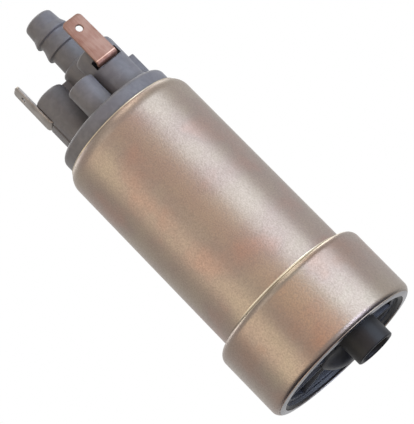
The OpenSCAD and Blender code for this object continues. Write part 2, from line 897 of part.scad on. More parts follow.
module brush_lead(turn, foot_z) {
    color([0.72, 0.45, 0.30])
        rotate([0, 0, turn])
            translate([brush_r, 0, brush_top])
                cylinder(d = lead_d, h = foot_z - brush_top, $fn = 24);
}

module brush_lead_left() {
    brush_lead(brush_angle + 180, narrow_foot_z);
}

module brush_lead_right() {
    brush_lead(brush_angle, wide_foot_z);
}

// A blade with a foot in the tower's slot, a round bend and an upright tab
module terminal(w, h, reach, foot_in, hole_d) {
    outer = bend_r + sheet_t;
    tip = blade_corner;
    difference() {
        intersection() {
            rotate([90, 0, 90])
                translate([0, 0, -w / 2])
                    linear_extrude(w) {
                        translate([-reach + outer, 0])
                            square([reach - outer + foot_in, sheet_t]);
                        translate([-reach + outer, outer])
                            intersection() {
                                difference() {
                                    circle(r = outer);
                                    circle(r = bend_r);
                                }
                                translate([-outer, -outer])
                                    square(outer);
                            }
                        translate([-reach, outer])
                            square([sheet_t, h - outer]);
                    }
            translate([0, foot_in + 1, 0])
                rotate([90, 0, 0])
                    linear_extrude(reach + foot_in + 2)
                        polygon(concat([[-w / 2, -1], [w / 2, -1]],
                            arc(w / 2 - tip, h - tip, tip, 0, 90, 4),
                            arc(tip - w / 2, h - tip, tip, 90, 180, 4)));
        }
        translate([0, -reach - 1, h - hole_drop])
            rotate([-90, 0, 0])
                cylinder(d = hole_d, h = sheet_t + 2, $fn = 32);
    }
}

module terminal_wide() {
    color([0.72, 0.50, 0.42])
        facing(right_at, wide_turn)
            translate([-wide_shift, 0, wide_foot_z])
                terminal(wide_w, wide_top - wide_floor, wide_reach, wide_foot_in, wide_hole_d);
}

module terminal_narrow() {
    color([0.62, 0.54, 0.46])
        facing(left_at, narrow_turn)
            translate([-narrow_shift, 0, narrow_foot_z])
                terminal(narrow_w, narrow_top - narrow_floor, narrow_reach, narrow_foot_in,
                    narrow_hole_d);
}

module choke_core(at) {
    color([0.20, 0.20, 0.21])
        translate([at[0], at[1], cap_floor])
            cylinder(d = choke_core_d, h = choke_h, $fn = 32);
}

module choke_core_left() {
    choke_core(choke_left_at);
}

module choke_core_right() {
    choke_core(choke_right_at);
}

module choke_coil(at) {
    wire = 0.6;
    color([0.72, 0.42, 0.24])
        translate([at[0], at[1], cap_floor + 0.4])
            coil(choke_core_d / 2 + wire / 2 + 0.05, wire, 6, choke_h - 0.6);
}

module choke_coil_left() {
    choke_coil(choke_left_at);
}

module choke_coil_right() {
    choke_coil(choke_right_at);
}

module check_seat() {
    color([0.66, 0.55, 0.33])
        translate([barb_x, barb_y, 0])
            ring(check_bore / 2 - 0.01, check_seat_bore / 2, check_seat_z,
                check_seat_z + check_seat_h);
}

// Round-nosed poppet with a stem that guides the spring
module check_poppet() {
    low = -asin((poppet_mid - poppet_z + 0.6) / poppet_r);
    color([0.14, 0.14, 0.15])
        translate([barb_x, barb_y, 0.02])
            rotate_extrude()
                polygon(concat([[0, poppet_mid + poppet_r * sin(low)]],
                    arc(0, poppet_mid, poppet_r, low, 0),
                    [[poppet_r, poppet_mid + 2], [1.1, poppet_mid + 2],
                    [1.1, poppet_mid + 2 + poppet_stem_h], [0, poppet_mid + 2 + poppet_stem_h]]));
}

module check_spring() {
    seat = poppet_mid + 2 + 0.02 + fit;
    color([0.74, 0.74, 0.76])
        translate([barb_x, barb_y, seat])
            coil(poppet_r - 0.4, 0.5, 6, check_roof - seat - fit);
}

module relief_seat() {
    color([0.66, 0.55, 0.33])
        translate([front_at[0], front_at[1], 0])
            ring(relief_bore / 2 - 0.01, relief_seat_bore / 2, relief_seat_z,
                relief_seat_z + relief_seat_h);
}

module relief_ball() {
    color([0.78, 0.78, 0.80])
        translate([front_at[0], front_at[1], ball_mid])
            sphere(r = relief_r);
}

module relief_spring() {
    seat = ball_mid + sqrt(pow(relief_r + relief_wire / 2, 2) - pow(relief_coil_r, 2))
        - relief_wire / 2 + 0.02;
    color([0.74, 0.74, 0.76])
        translate([front_at[0], front_at[1], seat])
            coil(relief_coil_r, relief_wire, 6, relief_roof - seat - fit);
}

case();
inlet_cover();
thrust_pad();
impeller();
outlet_plate();
pump_seal();
lower_bearing();
upper_bearing();
shaft();
armature_core();
armature_insulators();
armature_windings();
commutator_hub();
commutator_segments();
magnet_left();
magnet_right();
magnet_clip_front();
magnet_clip_back();
outlet_cap();
cap_seal();
brush_left();
brush_right();
brush_spring_left();
brush_spring_right();
brush_lead_left();
brush_lead_right();
terminal_narrow();
terminal_wide();
choke_core_left();
choke_core_right();
choke_coil_left();
choke_coil_right();
check_seat();
check_poppet();
check_spring();
relief_seat();
relief_ball();
relief_spring();
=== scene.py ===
# In-tank fuel pump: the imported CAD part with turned, moulded and stamped pieces over it.
import json
from math import asin, cos, pi, radians, sin, tan

import bmesh
import bpy
from mathutils import Matrix, Vector


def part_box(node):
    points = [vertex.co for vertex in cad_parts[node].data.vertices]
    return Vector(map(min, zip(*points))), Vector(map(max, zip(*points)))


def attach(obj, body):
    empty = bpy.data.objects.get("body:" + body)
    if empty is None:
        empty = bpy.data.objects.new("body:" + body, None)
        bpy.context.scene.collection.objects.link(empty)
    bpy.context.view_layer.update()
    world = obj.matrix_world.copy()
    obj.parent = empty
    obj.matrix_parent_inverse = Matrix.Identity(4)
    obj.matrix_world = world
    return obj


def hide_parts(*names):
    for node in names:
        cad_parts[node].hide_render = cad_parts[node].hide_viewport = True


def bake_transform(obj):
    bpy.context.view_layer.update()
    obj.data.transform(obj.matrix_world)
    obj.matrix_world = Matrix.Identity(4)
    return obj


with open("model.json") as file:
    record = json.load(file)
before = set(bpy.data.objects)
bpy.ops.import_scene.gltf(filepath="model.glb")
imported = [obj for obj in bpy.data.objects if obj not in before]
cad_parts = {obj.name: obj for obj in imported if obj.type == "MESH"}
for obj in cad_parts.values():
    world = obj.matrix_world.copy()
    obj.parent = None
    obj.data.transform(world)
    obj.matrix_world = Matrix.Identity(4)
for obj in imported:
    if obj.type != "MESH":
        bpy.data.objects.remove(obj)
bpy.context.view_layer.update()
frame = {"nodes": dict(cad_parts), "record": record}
nodes = frame["nodes"]
scene = bpy.context.scene
mm = 0.001
print("frame loaded:", len(nodes), "CAD nodes")

cameraSetup = {
    "target": (0.00021, 0.0, 0.05449),   # point of the part in the middle of the picture
    "elevation": -11.6,                  # degrees, seen slightly from the inlet end
    "roll": 44.41,                       # the barb end leans to the upper left
    "distance": 0.7843,
    "lens": 271.7, "sensor": 36,         # mm
}


def placeCamera(setup):
    lift, roll = radians(setup["elevation"]), radians(setup["roll"])
    back = Vector((0, -cos(lift), sin(lift)))
    across = Vector((1, 0, 0))
    upright = back.cross(across)
    right = cos(roll) * across - sin(roll) * upright
    up = sin(roll) * across + cos(roll) * upright
    data = bpy.data.cameras.new("camera")
    data.sensor_width = setup["sensor"]
    data.lens = setup["lens"]
    data.clip_start, data.clip_end = 0.01, 20
    camera = bpy.data.objects.new("camera", data)
    scene.collection.objects.link(camera)
    turn = Matrix((right, up, back)).transposed().to_4x4()
    place = Matrix.Translation(Vector(setup["target"]) + back * setup["distance"])
    camera.matrix_world = place @ turn
    scene.camera = camera


placeCamera(cameraSetup)
scene.view_settings.view_transform = "Standard"
print("camera placed")


def linear(code):                        # sRGB hex to linear RGBA
    parts = [int(code[i:i + 2], 16) / 255 for i in (1, 3, 5)]
    return [p / 12.92 if p <= 0.04045 else ((p + 0.055) / 1.055) ** 2.4 for p in parts] + [1.0]


def addNode(tree, kind, settings=None, links=None):
    node = tree.nodes.new(kind)
    for name, value in (settings or {}).items():
        if name == "stops":              # a ramp's colours: place, sRGB hex
            marks = node.color_ramp.elements
            while len(marks) < len(value):
                marks.new(0.5)
            for mark, (place, code) in zip(marks, value):
                mark.position, mark.color = place, linear(code)
        elif isinstance(name, str) and name not in node.inputs and hasattr(node, name):
            setattr(node, name, value)
        else:
            node.inputs[name].default_value = linear(value) if isinstance(value, str) else value
    for name, source in (links or {}).items():
        tree.links.new(source, node.inputs[name])
    return node.outputs


def startMaterial(name, settings):       # an empty material with its shader
    material = bpy.data.materials.new(name)
    material.use_nodes = True
    tree = material.node_tree
    tree.nodes.clear()
    surface = addNode(tree, "ShaderNodeBsdfPrincipled", settings)[0]
    addNode(tree, "ShaderNodeOutputMaterial", links={"Surface": surface})
    point = addNode(tree, "ShaderNodeTexCoord")["Object"]
    return material, tree, surface.node.inputs, point


# Soft clouds in the finishes, counted per metre: one every 14 mm, 5.6 mm and 3.8 mm.
driftScale, wearScale, tarnishScale = 70.0, 180.0, 260.0

# Deep-drawn steel, bead blasted and tin-nickel plated: a satin sheen with a fine sparkle, warm
# grey with faint patches of rose and straw.
platedSteels = {
    "blastedPlatedSteel": {"colour": "#86766B", "drift": "#8A7C6E", "blush": "#8B7468",
                           "grain": 0.37, "roughness": (0.365, 0.485)},
    # the collar, ironed by the die before blasting: smoother, so its bands stand out more
    "ironedPlatedSteel": {"colour": "#837368", "drift": "#86796B", "blush": "#856F62",
                          "grain": 0.42, "roughness": (0.305, 0.425)},
}
blasting = {
    "coat": 0.15, "coatRoughness": 0.3,  # the clear film over the plating
    "speck": (0.82, 1.02),               # tone of the dents and of the crests between them
    "dent": 0.036,                       # mm deep
}


def makeBlastedPlatedSteel(name, setup):
    material, tree, inputs, point = startMaterial(name, {
        "Metallic": 1.0, "Coat Weight": blasting["coat"],
        "Coat Roughness": blasting["coatRoughness"]})
    grain = addNode(tree, "ShaderNodeTexNoise", {"Scale": 1 / (setup["grain"] * mm), "Detail": 2.0},
                    {"Vector": point})[0]
    drift = addNode(tree, "ShaderNodeTexNoise", {"Scale": driftScale, "Detail": 3.0},
                    {"Vector": point})[0]
    tint = addNode(tree, "ShaderNodeValToRGB",
                   {"stops": [(0.36, setup["blush"]), (0.48, setup["colour"]),
                              (0.62, setup["drift"])]}, {"Fac": drift})[0]
    speck, rough = (
        addNode(tree, "ShaderNodeMapRange", {"From Min": 0.3, "From Max": 0.7, "To Min": dent,
                                             "To Max": crest}, {"Value": grain})[0]
        for dent, crest in (blasting["speck"], setup["roughness"][::-1]))
    colour = addNode(tree, "ShaderNodeMix", {"data_type": "RGBA", "blend_type": "MULTIPLY", 0: 1.0},
                     {6: tint, 7: speck})[2]
    bump = addNode(tree, "ShaderNodeBump", {"Distance": blasting["dent"] * mm},
                   {"Height": grain})[0]
    for socket, output in (("Base Color", colour), ("Roughness", rough), ("Normal", bump)):
        tree.links.new(output, inputs[socket])
    return material


# Steel burnished by the tools, and steel painted brighter as highlights: fine rings round the axis,
# brighter than the blasted steel.
burnishedAndHighlightSteels = {
    # the lip, closed by rollers: bright and slightly blue
    "rolledSteel": {"colour": "#8B8A8D", "dark": "#717073", "roughness": (0.26, 0.42)},
    # round the mouth: a warm satin band, partly the line that the drawing die leaves and partly a
    # painted highlight along the edge
    "mouthBurnishAndHighlightSteel": {"colour": "#AFA28D", "dark": "#8E8373", "roughness": (0.3, 0.45)},
    # the corner at the step: a painted highlight, a paler line standing in for the light it
    # catches, with painted shade, darker than the blasted steel, on the side turned from the lamps
    "paintedStepHighlightSteel": {"colour": "#C4B8A4", "dark": "#AEA28E", "roughness": (0.3, 0.42),
                             "side": (0.42, -0.91, 0), "stepShadeColour": "#786A5E"},
}
ringSpacing = 0.25                       # mm between the tools' rings
toolMark = 0.01                          # mm deep, for rings and drawn streaks


def makeBurnishedAndHighlightSteel(name, setup):
    material, tree, inputs, point = startMaterial(name, {"Metallic": 1.0})
    flat = addNode(tree, "ShaderNodeVectorMath", {"operation": "MULTIPLY", 1: (1, 1, 0)},
                   {0: point})[0]
    reach = addNode(tree, "ShaderNodeVectorMath", {"operation": "LENGTH"}, {0: flat})["Value"]
    where = addNode(tree, "ShaderNodeCombineXYZ", links={"X": reach})[0]
    rings = addNode(tree, "ShaderNodeTexNoise", {"Scale": 1 / (ringSpacing * mm), "Detail": 3.0},
                    {"Vector": where})[0]
    wear = addNode(tree, "ShaderNodeTexNoise", {"Scale": wearScale, "Detail": 3.0},
                   {"Vector": point})[0]
    level = addNode(tree, "ShaderNodeMath", {"operation": "MULTIPLY_ADD", 1: 0.5},
                    {0: rings, 2: wear})[0]
    colour = addNode(tree, "ShaderNodeValToRGB",
                     {"stops": [(0.55, setup["dark"]), (0.9, setup["colour"])]},
                     {"Fac": level})[0]
    if "side" in setup:                  # the painted highlight fades into painted shade 50 to 70 degrees away from the lit side
        outward = addNode(tree, "ShaderNodeVectorMath", {"operation": "NORMALIZE"}, {0: flat})[0]
        facing = addNode(tree, "ShaderNodeVectorMath",
                         {"operation": "DOT_PRODUCT", 1: setup["side"]}, {0: outward})["Value"]
        # painted shade: on the side away from the lamps the line turns darker than the steel
        highlightShare = addNode(tree, "ShaderNodeMapRange", {"From Min": 0.34, "From Max": 0.64},
                         {"Value": facing})[0]
        colour = addNode(tree, "ShaderNodeMix",
                         {"data_type": "RGBA", 6: linear(setup["stepShadeColour"])},
                         {0: highlightShare, 7: colour})[2]
    tree.links.new(colour, inputs["Base Color"])
    tree.links.new(addNode(tree, "ShaderNodeMapRange",
                           {"To Min": setup["roughness"][1], "To Max": setup["roughness"][0]},
                           {"Value": rings})[0], inputs["Roughness"])
    tree.links.new(addNode(tree, "ShaderNodeBump", {"Distance": toolMark * mm},
                           {"Height": rings})[0], inputs["Normal"])
    return material


# Moulded plastics and rubbers differ in colour, gloss (0.5 unless given), roughness, the size of
# their mottle and the size and depth of their grain, in mm.
mouldings = {
    # glass-filled nylon 66: dull, with pale swirls where fibres lie at the skin
    "glassFilledNylon": {"colour": "#535052", "pale": "#5E5B5C", "gloss": 0.4,
                         "roughness": (0.44, 0.58), "mottle": 1.6, "grain": 0.25, "depth": 0.012},
    # acetal: near black, smooth and slightly waxy
    "blackAcetal": {"colour": "#171514", "pale": "#1E1C1C", "gloss": 0.22,
                    "roughness": (0.42, 0.54), "mottle": 2.5, "grain": 0.3, "depth": 0.008},
    # the same within the rim: dull and greyer from a spark-eroded mould, and bluer from a painted
    # bluish sheen
    "etchedAcetalWithSheen": {"colour": "#28292C", "pale": "#323338", "roughness": (0.46, 0.58),
                     "mottle": 2.0, "grain": 0.3, "depth": 0.012},
    # natural phenolic with paper filler: brown, dull, speckled
    "phenolicHub": {"colour": "#5E4330", "pale": "#6E5240", "roughness": (0.45, 0.6),
                    "mottle": 0.9, "grain": 0.3, "depth": 0.01},
    # phenolic with mineral filler, lapped flat: brown grey with light specks
    "mineralPhenolic": {"colour": "#3E3A35", "pale": "#4C473F", "roughness": (0.35, 0.55),
                        "mottle": 0.6, "grain": 0.25, "depth": 0.01},
    # polyphenylene sulphide: dark earth brown, hard and even
    "mouldedSulphide": {"colour": "#4A4540", "pale": "#57514A", "roughness": (0.4, 0.52),
                        "mottle": 1.8, "grain": 0.3, "depth": 0.01},
    # polyester insulator: green, slightly glossy
    "mouldedPolyester": {"colour": "#306850", "pale": "#3C745A", "roughness": (0.32, 0.42),
                         "mottle": 2.0, "grain": 0.3, "depth": 0.008},
    # bearing-grade polyimide pad: ochre brown, faint specks
    "sinteredPolyimide": {"colour": "#6E6150", "pale": "#7C6E5C", "roughness": (0.4, 0.5),
                          "mottle": 0.8, "grain": 0.25, "depth": 0.008},
    # fluorocarbon rubber: black, dull, with a fine skin
    "fluorocarbonRubber": {"colour": "#181818", "pale": "#222222", "roughness": (0.5, 0.65),
                           "mottle": 1.2, "grain": 0.2, "depth": 0.012},
    # nitrile rubber: black with a grey bloom
    "nitrileRubber": {"colour": "#222224", "pale": "#2E2E31", "roughness": (0.5, 0.62),
                      "mottle": 1.5, "grain": 0.2, "depth": 0.012},
}


def makeMoulding(name, setup):
    material, tree, inputs, point = startMaterial(name, {
        "Specular IOR Level": setup.get("gloss", 0.5)})
    mottle = addNode(tree, "ShaderNodeTexNoise",
                     {"Scale": 1 / (setup["mottle"] * mm), "Detail": 4.0, "Distortion": 0.6},
                     {"Vector": point})[0]
    grain = addNode(tree, "ShaderNodeTexNoise", {"Scale": 1 / (setup["grain"] * mm), "Detail": 2.0},
                    {"Vector": point})[0]
    tree.links.new(addNode(tree, "ShaderNodeValToRGB",
                           {"stops": [(0.35, setup["colour"]), (0.7, setup["pale"])]},
                           {"Fac": mottle})[0], inputs["Base Color"])
    tree.links.new(addNode(tree, "ShaderNodeMapRange",
                           {"To Min": setup["roughness"][0], "To Max": setup["roughness"][1]},
                           {"Value": grain})[0], inputs["Roughness"])
    tree.links.new(addNode(tree, "ShaderNodeBump", {"Distance": setup["depth"] * mm},
                           {"Height": grain})[0], inputs["Normal"])
    return material


# Metals with a direction: streak is the streaks' width in mm, and stretch gives their length along
# x, y and z against it.
drawnMetals = {
    # rolled and stamped copper: pink brown, satin, faint streaks up the blade
    "stampedCopper": {"colour": "#7F6458", "dark": "#6F4E42", "roughness": (0.46, 0.58),
                      "streak": 0.35, "stretch": (1, 1, 8)},
    # the same where the bend runs out: paler, brighter, a painted highlight for the light line
    # along the bend
    "bendHighlightCopper": {"colour": "#AE9080", "dark": "#987868", "roughness": (0.4, 0.5),
                    "streak": 0.35, "stretch": (8, 8, 1)},
    # tinned bronze: greyish brown, duller
    "tinnedBronze": {"colour": "#88817B", "dark": "#6C645D", "roughness": (0.36, 0.5),
                     "streak": 0.4, "stretch": (1, 1, 7)},
    # ground shaft: bright, fine lines round it
    "groundSteel": {"colour": "#BFBFC3", "dark": "#A7A7AC", "roughness": (0.16, 0.28),
                    "streak": 0.25, "stretch": (12, 12, 1)},
    # drawn spring wire: bright with long draw marks
    "drawnSpringWire": {"colour": "#B8B8BC", "dark": "#97979C", "roughness": (0.2, 0.34),
                        "streak": 0.2, "stretch": (6, 6, 1)},
    # electrical steel, stacked sheets 0.5 mm thick: dark blue grey, lines across the stack
    "laminatedSteel": {"colour": "#75777C", "dark": "#4A4C52", "roughness": (0.35, 0.5),
                       "streak": 0.5, "stretch": (40, 40, 1)},
    # enamelled copper wire 0.45 mm thick, wound flat: amber brown under a clear enamel
    "enamelledCopperWire": {"colour": "#A2532C", "dark": "#6E351C", "roughness": (0.22, 0.34),
                            "streak": 0.45, "stretch": (5, 5, 1)},
}


def makeDrawnMetal(name, setup):
    material, tree, inputs, point = startMaterial(name, {"Metallic": 1.0})
    dense = Vector((1, 1, 1)) / (setup["streak"] * mm)
    placed = addNode(tree, "ShaderNodeMapping",
                     {"Scale": [a / b for a, b in zip(dense, setup["stretch"])]},
                     {"Vector": point})[0]
    streak = addNode(tree, "ShaderNodeTexNoise", {"Scale": 1.0, "Detail": 3.0},
                     {"Vector": placed})[0]
    cloud = addNode(tree, "ShaderNodeTexNoise", {"Scale": tarnishScale, "Detail": 3.0},
                    {"Vector": point})[0]
    level = addNode(tree, "ShaderNodeMath", {"operation": "MULTIPLY_ADD", 1: 0.6},
                    {0: streak, 2: cloud})[0]
    tree.links.new(addNode(tree, "ShaderNodeValToRGB",
                           {"stops": [(0.55, setup["dark"]), (0.95, setup["colour"])]},
                           {"Fac": level})[0], inputs["Base Color"])
    tree.links.new(addNode(tree, "ShaderNodeMapRange",
                           {"To Min": setup["roughness"][1], "To Max": setup["roughness"][0]},
                           {"Value": streak})[0], inputs["Roughness"])
    tree.links.new(addNode(tree, "ShaderNodeBump", {"Distance": toolMark * mm},
                           {"Height": streak})[0], inputs["Normal"])
    return material


# Pressed powders show open pores between the grains; size is the grains' in mm.
pressedPowders = {
    # oiled bronze bush: dull gold with dark pores
    "sinteredBronze": {"colour": "#9A8052", "pore": "#4E3F28", "metallic": 1.0, "roughness": 0.42,
                       "size": 0.3},
    # resin-bonded carbon: soft black with a graphite sheen
    "pressedCarbon": {"colour": "#2B2B2D", "pore": "#161617", "metallic": 0.3, "roughness": 0.48,
                      "size": 0.3},
    # manganese-zinc ferrite: dark grey, stony
    "firedFerrite": {"colour": "#36363A", "pore": "#1E1E20", "metallic": 0.2, "roughness": 0.4,
                     "size": 0.25},
    # ground strontium ferrite magnet: charcoal, smooth with small chips
    "groundMagnet": {"colour": "#424245", "pore": "#28282A", "metallic": 0.3, "roughness": 0.36,
                     "size": 0.5},
}
poreDepth = 0.02                         # mm


def makePressedPowder(name, setup):
    material, tree, inputs, point = startMaterial(name, {
        "Metallic": setup["metallic"], "Roughness": setup["roughness"]})
    cells = addNode(tree, "ShaderNodeTexVoronoi", {"Scale": 1 / (setup["size"] * mm)},
                    {"Vector": point})[0]
    cloud = addNode(tree, "ShaderNodeTexNoise", {"Scale": 1 / (2 * setup["size"] * mm),
                                                 "Detail": 3.0}, {"Vector": point})[0]
    pores = addNode(tree, "ShaderNodeMath", {"operation": "MULTIPLY"}, {0: cells, 1: cloud})[0]
    tree.links.new(addNode(tree, "ShaderNodeValToRGB",
                           {"stops": [(0.1, setup["colour"]), (0.45, setup["pore"])]},
                           {"Fac": pores})[0], inputs["Base Color"])
    tree.links.new(addNode(tree, "ShaderNodeBump",
                           {"Distance": poreDepth * mm, "Strength": 0.6, "invert": True},
                           {"Height": pores})[0], inputs["Normal"])
    return material


finishes = {}
for make, family in ((makeMoulding, mouldings), (makeDrawnMetal, drawnMetals),
                     (makePressedPowder, pressedPowders), (makeBlastedPlatedSteel, platedSteels),
                     (makeBurnishedAndHighlightSteel, burnishedAndHighlightSteels)):
    finishes.update((name, make(name, setup)) for name, setup in family.items())

slotFinish = {                           # what each slot of the record is made of
    "case_steel": "blastedPlatedSteel", "cap_plastic": "glassFilledNylon",
    "inlet_plastic": "blackAcetal", "terminal_copper": "stampedCopper",
    "terminal_bronze": "tinnedBronze", "shaft_steel": "groundSteel",
    "core_steel": "laminatedSteel", "spring_steel": "drawnSpringWire",
    "bearing_bronze": "sinteredBronze", "winding_copper": "enamelledCopperWire",
    "carbon": "pressedCarbon", "ferrite": "firedFerrite", "magnet": "groundMagnet",
    "insulator": "mouldedPolyester", "hub_resin": "phenolicHub",
    "impeller_resin": "mineralPhenolic", "plate_resin": "mouldedSulphide",
    "pad": "sinteredPolyimide", "seal_rubber": "fluorocarbonRubber",
    "poppet_rubber": "nitrileRubber",
}
for part in frame["record"]["subparts"]:
    data = nodes[part["node"]].data
    data.materials.clear()
    data.materials.append(finishes[slotFinish[part["material_slot"]]])
print("materials made:", len(finishes))


def recordOf(node):
    return next(p for p in frame["record"]["subparts"] if p["node"] == node)


def roundOff(corners, steps=6):          # closed outline in mm, a third number rounds a corner
    points = []
    for i, corner in enumerate(corners):
        here = Vector(corner[:2])
        fillet = corner[2] if len(corner) > 2 else 0
        if not fillet:
            points.append(here)
            continue
        back = (Vector(corners[i - 1][:2]) - here).normalized()
        ahead = (Vector(corners[(i + 1) % len(corners)][:2]) - here).normalized()
        half = back.angle(ahead) / 2
        middle = here + (back + ahead).normalized() * fillet / sin(half)
        first = here + back * fillet / tan(half) - middle
        last = here + ahead * fillet / tan(half) - middle
        spread = pi - 2 * half
        for k in range(steps + 1):
            t = k / steps
            points.append(middle + (first * sin((1 - t) * spread) + last * sin(t * spread))
                          / sin(spread))
    return points


def arcPoints(centre, radius, start, end, steps=8):
    angles = [radians(start + (end - start) * k / steps) for k in range(steps + 1)]
    return [(centre[0] + radius * cos(a), centre[1] + radius * sin(a)) for a in angles]


def linkMesh(name, bm, sharp=35):
    bmesh.ops.recalc_face_normals(bm, faces=bm.faces)
    mesh = bpy.data.meshes.new(name)
    bm.to_mesh(mesh)
    bm.free()
    mesh.shade_smooth()
    mesh.set_sharp_from_angle(angle=radians(sharp))
    piece = bpy.data.objects.new(name, mesh)
    scene.collection.objects.link(piece)
    return piece


def turnOutline(name, outline, centre=(0, 0), steps=128):   # a lathe: closed outline round an axis
    bm = bmesh.new()
    rings = []
    for r, z in outline:
        count = 1 if r < 1e-4 else steps     # one point on the axis
        rings.append([bm.verts.new(((centre[0] + r * cos(2 * pi * i / steps)) * mm,
                                    (centre[1] + r * sin(2 * pi * i / steps)) * mm, z * mm))
                      for i in range(count)])
    for low, high in zip(rings, rings[1:] + rings[:1]):
        if len(low) + len(high) > 2:
            for i in range(steps):
                j = (i + 1) % steps
                loop = [low[i % len(low)], low[j % len(low)], high[j % len(high)],
                        high[i % len(high)]]
                bm.faces.new(dict.fromkeys(loop))
    return linkMesh(name, bm)


def placement(at, turn):                 # from a piece's own mm and turn to the part's metres
    return Matrix.Scale(mm, 4) @ Matrix.Translation(at) @ Matrix.Rotation(radians(turn), 4, "Z")


def mouldBlock(name, low, high, edge, at=(0, 0), turn=0):   # a block with rounded edges
    bm = bmesh.new()
    bmesh.ops.create_cube(bm, size=1)
    middle, size = (Vector(low) + Vector(high)) / 2, Vector(high) - Vector(low)
    for vert in bm.verts:
        vert.co = middle + Vector(c * s for c, s in zip(vert.co, size))
    if edge:
        bmesh.ops.bevel(bm, geom=list(bm.edges), offset=edge, segments=3, profile=0.5,
                        affect="EDGES")
    bm.transform(placement((*at, 0), turn))
    return linkMesh(name, bm)


def combine(piece, others, operation):   # joins or cuts, and leaves one mesh
    for other in others:
        step = piece.modifiers.new(other.name, "BOOLEAN")
        step.operation, step.solver, step.object = operation, "MANIFOLD", other
    graph = bpy.context.evaluated_depsgraph_get()
    made = bpy.data.meshes.new_from_object(piece.evaluated_get(graph))
    piece.modifiers.clear()
    piece.data = made
    for other in others:
        bpy.data.objects.remove(other)


def dress(piece, node, finish=None):     # stands for a CAD node, on its body, with the finish if one is given
    if finish:
        piece.data.materials.clear()
        piece.data.materials.append(finishes[finish])
    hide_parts(node)
    bodies = frame["record"]["behaviour"]["bodies"]
    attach(piece, next(b for b, names in bodies.items() if node in names))


caseSetup = {
    "barrelR": 19.0, "draft": 0.2,       # the drawn barrel narrows this much towards the cap
    "collarR": 22.4, "wall": 1.5, "rimZ": 5.6, "stepZ": 26.6, "topZ": 84.4,
    "rimRound": 2.1, "collarRound": 2.5, "stepRound": 0.6, "shoulderR": 4.7, "mouthR": 16.9,
    "lipHoleR": 19.6,
    # degrees up the rim's round to the roller's crease and half its width, then mm
    "crease": 58, "creaseHalf": 3.5, "creaseDepth": 0.14,
    "mouthArc": 6,                       # degrees of the shoulder that the formed lip takes
    "mouthStep": 0.03,                   # mm from the shoulder in to that lip
    "stepHighlightFrom": 47,                       # degrees up the shoulder to the painted highlight line
}


def makeCase(setup):
    rim, wall, shoulderR = setup["rimRound"], setup["wall"], setup["shoulderR"]
    rimZ, stepZ, topZ = setup["rimZ"], setup["stepZ"], setup["topZ"]
    collarR, barrelR = setup["collarR"], setup["barrelR"]
    mouthR, lipR = setup["mouthR"], setup["lipHoleR"]
    centre = (collarR - rim, rimZ + rim)
    topR = barrelR - setup["draft"]
    edgeX = topR - shoulderR
    end = 90 - asin((mouthR - edgeX) / shoulderR) * 180 / pi
    edge = (edgeX, topZ - shoulderR * sin(radians(end)))
    end -= setup["mouthArc"]
    mouth = arcPoints(edge, shoulderR, end, 0, 1)[0]
    outer = roundOff([(collarR, rimZ + rim + 1), (collarR, stepZ, setup["collarRound"] - 0.01),
                      (barrelR, stepZ, setup["stepRound"] - 0.01), (topR, topZ - 6)], 10)[:-1]
    inner = roundOff([(barrelR - wall, topZ - 12), (barrelR - wall, stepZ - wall),
                      (collarR - wall, stepZ - wall, 1.0), (collarR - wall, rimZ + wall, 0.5),
                      (lipR, rimZ + wall)], 4)
    crease, half, step = setup["crease"], setup["creaseHalf"], setup["mouthStep"]
    x, z = arcPoints(centre, rim, -crease - half, 0, 1)[0]
    deep = arcPoints(centre, rim - setup["creaseDepth"], -crease, 0, 1)[0]
    lip = roundOff([(lipR, rimZ + wall), (lipR, rimZ, 0.12), (x, z)], 6)
    outline = (lip[1:-1] + [(x, z), deep] + arcPoints(centre, rim, -crease + half, 0, 10)
               + outer[1:] + arcPoints(edge, shoulderR, 0, end, 14)
               + roundOff([(mouth[0] - step, mouth[1] + step), (mouth[0] - step, topZ, 0.14),
                           (mouthR, topZ), (mouthR, topZ - 0.3)], 4)
               + arcPoints(edge, shoulderR - wall, end, 0, 8) + inner[1:])
    case = turnOutline("caseShell", outline, steps=192)
    for finish in ("blastedPlatedSteel", "rolledSteel", "mouthBurnishAndHighlightSteel", "ironedPlatedSteel",
                   "paintedStepHighlightSteel"):
        case.data.materials.append(finishes[finish])
    # the rollers left a bright lip; round the mouth runs a brighter band, partly die burnish and
    # partly a painted highlight; from the collar's shoulder to the corner above it runs a painted
    # highlight line, with painted shade on the side away from the lamps
    shoulder = stepZ - setup["collarRound"] * (1 - sin(radians(setup["stepHighlightFrom"])))
    for face in case.data.polygons:
        middle = face.center / mm
        reach = middle.xy.length
        atLip = middle.z < z + 0.05 and reach > lipR - 0.1
        atStep = shoulder < middle.z < stepZ + setup["stepRound"] and reach > barrelR - 0.05
        atCollar = middle.z < shoulder and reach > collarR - setup["collarRound"]
        atMouth = middle.z > mouth[1] + 0.01
        face.material_index = (1 if atLip else 2 if atMouth else 3 if atCollar
                               else 4 if atStep else 0)
    dress(case, "case")


makeCase(caseSetup)
print("case turned")

